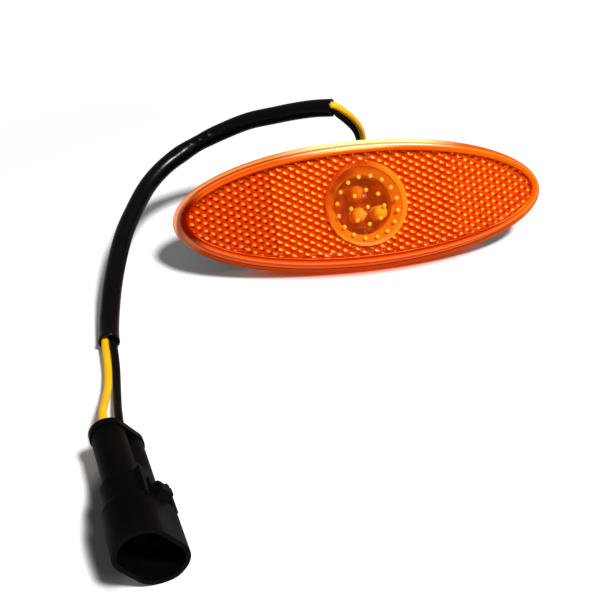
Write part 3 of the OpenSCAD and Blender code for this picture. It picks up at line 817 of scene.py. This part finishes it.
    def build_window(self) -> list[Object]:
        """Build the window's clear pane and the short wall between it and the prisms."""
        r, z, ring = self.window_r, self.ceiling, self.round_ring
        discs = [ring(r, z + up) for up in self.pane_z]
        pane = new_piece("window_pane", *lofted(discs, closed=False), Part.WINDOW)
        out, step = r + self.wall_out, self.wall_step
        rings = [ring(out, z - step), ring(r - step, z + 0.05), ring(r, self.prism_top),
                 ring(out, self.prism_top)]
        wall = new_piece("window_wall", *lofted(rings, closed=True), Part.STEP)
        return [outward(pane), self.soften(outward(wall))]

    def build(self) -> list[Object]:
        """Build every piece of the lens and return them."""
        rim = settle(self.build_rim(), "amber_lens", "lens")
        rest = [self.build_face(), self.build_prisms(), self.build_pips(), *self.build_window()]
        return [rim, *(settle(obj, "amber_lens", "lens") for obj in rest)]


@dataclass
class Dressed:
    """Pieces that keep the shape of their CAD nodes and get their finishes."""

    finishes: dict[str, Part]

    def build(self) -> None:
        """Give every piece its finish."""
        for node, part in self.finishes.items():
            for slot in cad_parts[node].material_slots:
                slot.material = part.material()


@dataclass
class LightUnit(Dressed):
    """The diodes, their board and the pale cup behind the window."""

    finishes: dict[str, Part] = field(default_factory=lambda: {
        "light_collar": Part.CUP, "circuit_board": Part.BOARD, "led_1": Part.HALF_SHADED_DIODE,
        "led_2": Part.SHADED_DIODE, "led_3": Part.DIODE, "led_4": Part.PAINTED_LIT_DIODE,
        "resistor_1": Part.CHIP, "resistor_2": Part.CHIP, "resistor_3": Part.CHIP,
        "diode": Part.CHIP, "capacitor": Part.BROWN_CHIP})


@dataclass
class RearHousing(Dressed):
    """The black back with its box, foam gasket and cable bush."""

    finishes: dict[str, Part] = field(default_factory=lambda: {
        "rear_housing": Part.HOUSING, "gasket": Part.FOAM, "cable_grommet": Part.RUBBER})


# ---------------------------------------------------------------- the lead and its plug

@dataclass
class Plug(Dressed):
    """The two-way plug and its contacts, on the table in front of the lamp."""

    finishes: dict[str, Part] = field(default_factory=lambda: {
        "plug_housing": Part.PLUG, "plug_lock": Part.LOCK, "pin_1": Part.TIN, "pin_2": Part.TIN,
        "wire_seal_1": Part.RUBBER, "wire_seal_2": Part.RUBBER})
    rear: Point = (-80.9, -79.9, 7.26)
    heading: float = 10
    pitch: float = 2.2
    roll: float = 56
    way_pitch: float = 6.4

    def matrix(self) -> Matrix:
        """Turn from the plug's own directions into the row frame, in millimetres."""
        return (Matrix.Translation(self.rear) @ Matrix.Rotation(math.radians(self.heading), 4, "Z")
                @ Matrix.Rotation(math.radians(90 - self.pitch), 4, "X")
                @ Matrix.Rotation(math.radians(-self.roll), 4, "Z"))

    def way(self, side: int, z: float) -> Point:
        """A point on the middle line of one way."""
        return tuple(self.matrix() @ Vector((side * self.way_pitch / 2, 0, z)))


@dataclass
class Lead:
    """Two wires from the bush to the plug, with a black sleeve over most of their length."""

    wire_d: float = 2.1
    wire_sides: int = 20
    sleeve_d: float = 6.0
    flare: float = 0.18
    # Place along the sleeve, height in mm and length of the flare, the pinch and the swell
    swells: tuple[Point, ...] = ((1, 0.18, 0.012), (0.37, -0.2, 0.03), (0.43, 0.12, 0.025))
    sleeve_wall: float = 0.6
    least_wall: float = 0.12
    bore_r: float = 2.2
    sleeve_sides: int = 48
    sleeve_steps: int = 14
    wire_steps: int = 5
    exit_x: float = 4
    exit_y: float = 5.5
    bore_half: float = 1.35
    board_back: float = -3.6
    bush_z: float = -9.5
    boss_z: float = -12
    nose_z: float = -16.5
    past_nose_z: float = -19.5
    contact_z: Point = (-5, 0, 8)
    pair_half: float = 1.13
    pair_ways: tuple[Point, Point] = ((0, -0.4, 1), (-1, 0, 0.1))
    # Place along the sleeve, place round it, height in mm, length and width of each fold
    folds: tuple[tuple[float, ...], ...] = (
        (0.325, -0.6, -0.34, 0.008, 0.45), (0.34, -0.75, 0.3, 0.007, 0.45),
        (0.354, -0.5, -0.28, 0.007, 0.4), (0.367, -0.65, 0.3, 0.007, 0.4),
        (0.381, -0.4, -0.26, 0.007, 0.4), (0.394, -0.5, 0.26, 0.008, 0.4),
        (0.44, -0.5, -0.2, 0.02, 0.4))
    plug: Plug = field(default_factory=Plug)
    place: Matrix = field(default_factory=lambda: Lean().matrix())
    sleeve_route: tuple[Point, ...] = (
        (-5.5, 19.5, 42.4), (-11, 22.5, 41.3), (-17, 25.5, 39.6), (-23, 28.5, 37.5),
        (-31, 31.5, 35), (-39, 32.5, 32), (-46.5, 32, 29.2), (-53, 30.5, 26.6), (-59, 27.5, 24.2),
        (-64, 23.5, 21.8), (-68, 18.5, 19.5), (-72, 11, 16.7), (-75.5, 3, 14), (-78.3, -7, 11),
        (-80.4, -17, 8), (-81.6, -25, 5.4), (-82.2, -31, 3.8), (-82.4, -37.5, 3.1))
    yellow_up: tuple[Point, ...] = (
        (6.2, 22.6, 8.8), (7.2, 26, 9.6), (8, 28.6, 12.2), (8.5, 29.6, 16), (8.4, 29, 20.6),
        (7.9, 27.8, 25.2), (7.1, 26.6, 28.6), (5.9, 25.4, 31.6), (4.2, 24.2, 34.3),
        (2.1, 22.9, 36.9), (-0.2, 21.5, 39.3), (-2.8, 20, 41.7))
    black_up: tuple[Point, ...] = (
        (3.8, 22.6, 8.6), (4.8, 25.8, 9.2), (5.8, 28.6, 11.6), (6.5, 30.6, 15.2), (6.9, 30.9, 19.6),
        (6.9, 29.7, 23.8), (6.2, 28.1, 26.9), (4.9, 26.7, 29.8), (3.2, 25.2, 32.4),
        (1.2, 23.7, 34.8), (-0.9, 22.2, 37.1), (-3.2, 20.7, 39.4))
    yellow_down: tuple[Point, ...] = (
        (-83.2, -43, 3.1), (-82.9, -49, 3), (-82.9, -57, 4), (-83.4, -65, 6.4), (-83.7, -71, 8.6))
    black_down: tuple[Point, ...] = (
        (-81, -43, 2.3), (-80.8, -49, 2.1), (-80.8, -56, 2.3), (-80.7, -64, 3.2), (-80.4, -70, 4.1))

    def pair_way(self, i: int) -> Vector:
        """Direction from the black wire to the yellow one in the sleeve, square to its route."""
        r = [Vector(p) for p in self.sleeve_route]
        tangent = (r[min(i + 1, len(r) - 1)] - r[max(i - 1, 0)]).normalized()
        first, last = (Vector(way) for way in self.pair_ways)
        way = first.lerp(last, i / (len(r) - 1))
        return (way - way.dot(tangent) * tangent).normalized()

    def inner_point(self, side: int, z: float) -> Vector:
        """A point of one wire's straight way through the rear box and the bush."""
        return self.place @ Vector((self.exit_x + side * self.bore_half, self.exit_y, z))

    def wire_route(self, side: int, up: Sequence[Point], down: Sequence[Point]) -> list[Point]:
        """Middle line of one wire from the board to its contact.

        Args:
            side: 1 for the yellow wire and -1 for the black one.
            up: Points between the bush and the sleeve.
            down: Points between the sleeve and the plug.

        Returns:
            Points in millimetres.
        """
        inner = [tuple(self.inner_point(side, z))
                 for z in (self.board_back, self.bush_z, self.nose_z, self.past_nose_z)]
        held = [tuple(Vector(p) + side * self.pair_half * self.pair_way(i))
                for i, p in enumerate(self.sleeve_route)]
        return [*inner, *up, *held, *down, *(self.plug.way(-side, z) for z in self.contact_z)]

    def tube(self, name: str, route: Sequence[Vector], radius: float, part: Part) -> Object:
        """Draw a round bar along a route with Geometry Nodes.

        Args:
            name: Name of the piece.
            route: Points of the middle line, in millimetres.
            radius: Radius in millimetres.
            part: Finish of the piece.

        Returns:
            The finished piece.
        """
        line = bpy.data.curves.new(name + "_line", "CURVE")
        line.dimensions = "3D"
        spline = line.splines.new("POLY")
        spline.points.add(len(route) - 1)
        spline.points.foreach_set("co", [c for p in route for c in (*(p * MM), 1.0)])
        carrier = new_object(name + "_line", line)
        group = NodeGroup(name + " cover", {
            "Radius": radius * MM, "Sides": self.wire_sides, "Line": carrier})
        add = partial(add_node, group.tree)
        size, sides, middle = group.sockets.values()
        path = add(OBJECT_INFO, middle).outputs["Geometry"]
        circle = add("GeometryNodeCurvePrimitiveCircle", sides, size)
        bar = add("GeometryNodeCurveToMesh", path, circle, inputs={"Fill Caps": True})
        obj = group.run(add("GeometryNodeSetShadeSmooth", bar), name, part)
        bpy.data.objects.remove(carrier)
        return outward(obj)

    def sleeve_radius(self, along: float) -> float:
        """Outer radius at a share of the length: the cut end flares and a bend pinches."""
        changes = (deep * math.exp(-((along - at) / long) ** 2) for at, deep, long in self.swells)
        return sum(changes, start=self.sleeve_d / 2 - self.flare)

    def crease(self, along: float, turn: float) -> float:
        """Depth of the folds that the bend pressed into the sleeve's upper side.

        Args:
            along: Share of the sleeve's length.
            turn: Place round the sleeve, 0 at its upper side.

        Returns:
            Change of the radius in millimetres.
        """
        turn = (turn + math.pi) % (2 * math.pi) - math.pi
        return sum(deep * math.exp(-((along - at) / long) ** 2 - (turn - side) ** 2 / wide ** 2)
                   for at, side, deep, long, wide in self.folds)

    def build_sleeve(self) -> Object:
        """Build the hollow sleeve as one closed wall along its route."""
        route = smooth_route(self.sleeve_route, self.sleeve_steps)
        turns = [2 * math.pi * k / self.sleeve_sides for k in range(self.sleeve_sides)]
        normal = Vector((0, 0, 1))
        outer, inner = [], []
        for i, spot in enumerate(route):
            tangent = (route[min(i + 1, len(route) - 1)] - route[max(i - 1, 0)]).normalized()
            normal = (normal - normal.dot(tangent) * tangent).normalized()
            other = tangent.cross(normal)
            along = i / (len(route) - 1)
            ways = [math.cos(t) * normal + math.sin(t) * other for t in turns]
            radii = [self.sleeve_radius(along) + self.crease(along, t) for t in turns]
            outer.append([tuple(spot + r * w) for r, w in zip(radii, ways)])
            bores = [min(max(r - self.sleeve_wall, self.bore_r), r - self.least_wall)
                     for r in radii]
            inner.append([tuple(spot + r * w) for r, w in zip(bores, ways)])
        points, faces = lofted([*outer, *inner[::-1]], closed=True)
        return outward(new_piece("lead_sleeve", points, faces, Part.SLEEVE))

    def build(self) -> list[Object]:
        pieces = []
        sleeve = settle(self.build_sleeve(), "sleeve_pvc", "sleeve")
        held = [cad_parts[n] for n in (*self.plug.finishes, "cable_grommet")]
        wires = (("yellow_lead", "yellow_pvc", "yellow_wire", 1, self.yellow_up, self.yellow_down),
                 ("black_lead", "black_pvc", "black_wire", -1, self.black_up, self.black_down))
        for (name, slot, node, side, up, down), part in zip(wires, (Part.YELLOW, Part.BLACK)):
            route = smooth_route(self.wire_route(side, up, down), self.wire_steps)
            obj = settle(self.tube(name, route, self.wire_d / 2, part), slot, node)
            length = sum((b - a).length for a, b in zip(route, route[1:]))
            LOG.info("%s is %.0f mm long", name, length)
            leaves = self.inner_point(side, self.boss_z)
            pieces.append(obj)
        return [sleeve, *pieces]


# ---------------------------------------------------------------- the studio

@dataclass
class Studio:
    """White floor, plain light and the camera of the photograph's view."""

    camera_at: Point = (-66.0, -222.1, 146.6)
    camera_turn: Point = (54.0, 0.0, -11.66)
    lens_mm: float = 48.9
    sensor_mm: float = 36
    near_mm: float = 10
    middle: Point = (-30, -20, 0)
    floor_half: float = 3000
    floor_z: float = -0.05
    # The paper's own light beside the object, and how much it gains between two distances
    lift_foot: float = 0.02
    lifts: tuple[Point, ...] = ((130, 340, 0.5), (340, 900, 0.6))
    # Two painted ovals on the paper, an orange glow by the lip and a shadow by the plug:
    # middle, half size, and the share of it that they fill evenly
    painted_glow_at: Point = (0, 6, 0)
    painted_glow_half: Point = (58, 23.5, 1)
    painted_glow_full: float = 0.8
    painted_glow_front: Pair = (-3, -9)
    painted_glow_colour: str = "#ff6a34"
    painted_glow_light: float = 0.24
    gloss_dim: float = 0.65
    # The painted shadow beside the plug, and how dark it is
    painted_shadow_at: Point = (-83.2, -99, 0)
    painted_shadow_half: Point = (8.2, 20, 1)
    painted_shadow_full: float = 0.6
    painted_shadow_dim: float = 0.85
    light_from: Point = (0.31, -0.47, 1.0)
    light_w: float = 9.5
    light_size: float = 150
    light_far: float = 900
    light_aim: Point = (-30, -30, 0)
    world_strength: float = 0.18

    def build_camera(self) -> None:
        """Make the scene's camera."""
        camera = bpy.data.cameras.new("camera")
        camera.lens = self.lens_mm
        camera.sensor_width = self.sensor_mm
        camera.clip_start = self.near_mm * MM
        obj = new_object("camera", camera)
        obj.location = Vector(self.camera_at) * MM
        obj.rotation_euler = [math.radians(a) for a in self.camera_turn]
        bpy.context.scene.camera = obj

    def build_world(self) -> None:
        """Make a white backdrop that lights the object at a plain level."""
        world = bpy.data.worlds.new("studio")
        bpy.context.scene.world = world
        add = partial(add_node, empty_tree(world))
        level = add(RANGE, add("ShaderNodeLightPath").outputs["Is Camera Ray"],
                    0.0, 1.0, self.world_strength, 1.0)
        add("ShaderNodeOutputWorld", add("ShaderNodeBackground", linear("#ffffff"), level))

    def reach(self, tree: NodeTree, place: NodeSocket, centre: Point, half: Point) -> Node:
        """Measure how far a place lies from the middle of an oval, 1 on its edge."""
        moved = add_node(tree, VECTOR, place, [c * MM for c in centre], operation="SUBTRACT")
        squeezed = add_node(tree, VECTOR, moved, [c * MM for c in half], operation="DIVIDE")
        return add_node(tree, VECTOR, squeezed, operation="LENGTH")

    def paper(self) -> Material:
        """Make the material of the white sheet under the object, with a painted glow and shadow."""
        material = bpy.data.materials.new("white_paper_sweep")
        tree = empty_tree(material)
        add = partial(add_node, tree)
        place, ray = add("ShaderNodeTexCoord").outputs["Object"], add("ShaderNodeLightPath").outputs
        black = linear("#000000")
        # The sheet is lifted to plain white away from the object, and keeps its shadow near it
        away = add(VECTOR, place, [c * MM for c in self.middle], operation="DISTANCE")
        lift = self.lift_foot
        for low, high, amount in self.lifts:
            rise = add(RANGE, away, low * MM, high * MM, **SMOOTH)
            lift = add(MATH, rise, amount, lift, operation="MULTIPLY_ADD")
        lift = add(MATH, lift, ray["Is Camera Ray"], operation="MULTIPLY")
        # Painted glow: the paper beside the amber lip is tinted orange and given light of its own
        reach = self.reach(tree, place, self.painted_glow_at, self.painted_glow_half)
        beside = add(RANGE, reach, 1.0, self.painted_glow_full, **SMOOTH)
        forward = add("ShaderNodeSeparateXYZ", place).outputs["Y"]
        ahead = add(RANGE, forward, *(c * MM for c in self.painted_glow_front), **SMOOTH)
        painted_glow = add(MATH, beside, ahead, operation="MULTIPLY")
        tinted = add(MIX, painted_glow, linear("#ffffff"), linear(self.painted_glow_colour), **COLOUR)
        lift = add(MATH, painted_glow, self.painted_glow_light, lift, operation="MULTIPLY_ADD")
        # Gloss on the black and amber plastic shows a dimmer sheet, as a dark room would leave it
        mirrored = add(MATH, ray["Is Glossy Ray"], self.gloss_dim, operation="MULTIPLY")
        dimmed = add(MIX, mirrored, tinted, black, **COLOUR)
        # Painted shadow: the paper is darkened in an oval by the plug, where the gap under it is
        # dark
        reach = self.reach(tree, place, self.painted_shadow_at, self.painted_shadow_half)
        under = add(RANGE, reach, 1.0, self.painted_shadow_full, **SMOOTH)
        deep = add(MATH, under, self.painted_shadow_dim, operation="MULTIPLY")
        dimmed = add(MIX, deep, dimmed, black, **COLOUR)
        sheet = add("ShaderNodeBsdfPrincipled", inputs={
            "Base Color": dimmed, "Roughness": 0.9, "Specular IOR Level": 0.0,
            "Emission Color": tinted, "Emission Strength": lift})
        add("ShaderNodeOutputMaterial", sheet)
        return material

    def build_floor(self) -> None:
        """Make the white floor, which keeps the object's shadow."""
        half, z = self.floor_half * MM, self.floor_z * MM
        mesh = bpy.data.meshes.new("floor")
        corners = [(-half, -half, z), (half, -half, z), (half, half, z), (-half, half, z)]
        mesh.from_pydata(corners, [], [[0, 1, 2, 3]])
        mesh.materials.append(self.paper())
        new_object("floor", mesh)

    def build_light(self) -> None:
        """Hang one large soft lamp over the object, to the right and a little in front."""
        lamp = bpy.data.lights.new("soft_box", "AREA")
        lamp.shape = "DISK"
        lamp.size = self.light_size * MM
        lamp.energy = self.light_w
        obj = new_object("soft_box", lamp)
        way = Vector(self.light_from).normalized()
        obj.location = (Vector(self.light_aim) + way * self.light_far) * MM
        obj.rotation_euler = way.to_track_quat("Z", "Y").to_euler()

    def build(self) -> None:
        """Make the camera, the lights, the world and the floor."""
        self.build_camera()
        self.build_world()
        self.build_floor()
        self.build_light()
        bpy.context.scene.view_settings.view_transform = "Standard"


def main() -> None:
    """Build the studio, the lead, the plug and the lamp."""
    logging.basicConfig(level=logging.INFO, format="%(name)s: %(message)s")
    Studio().build()
    lead = Lead()
    pieces = lead.build()
    lead.plug.build()
    pieces += Lens().build()
    LightUnit().build()
    RearHousing().build()
    for obj in pieces:
        LOG.info("%s has %d faces", obj.name, len(obj.data.polygons))


if __name__ == "__main__":
    main()
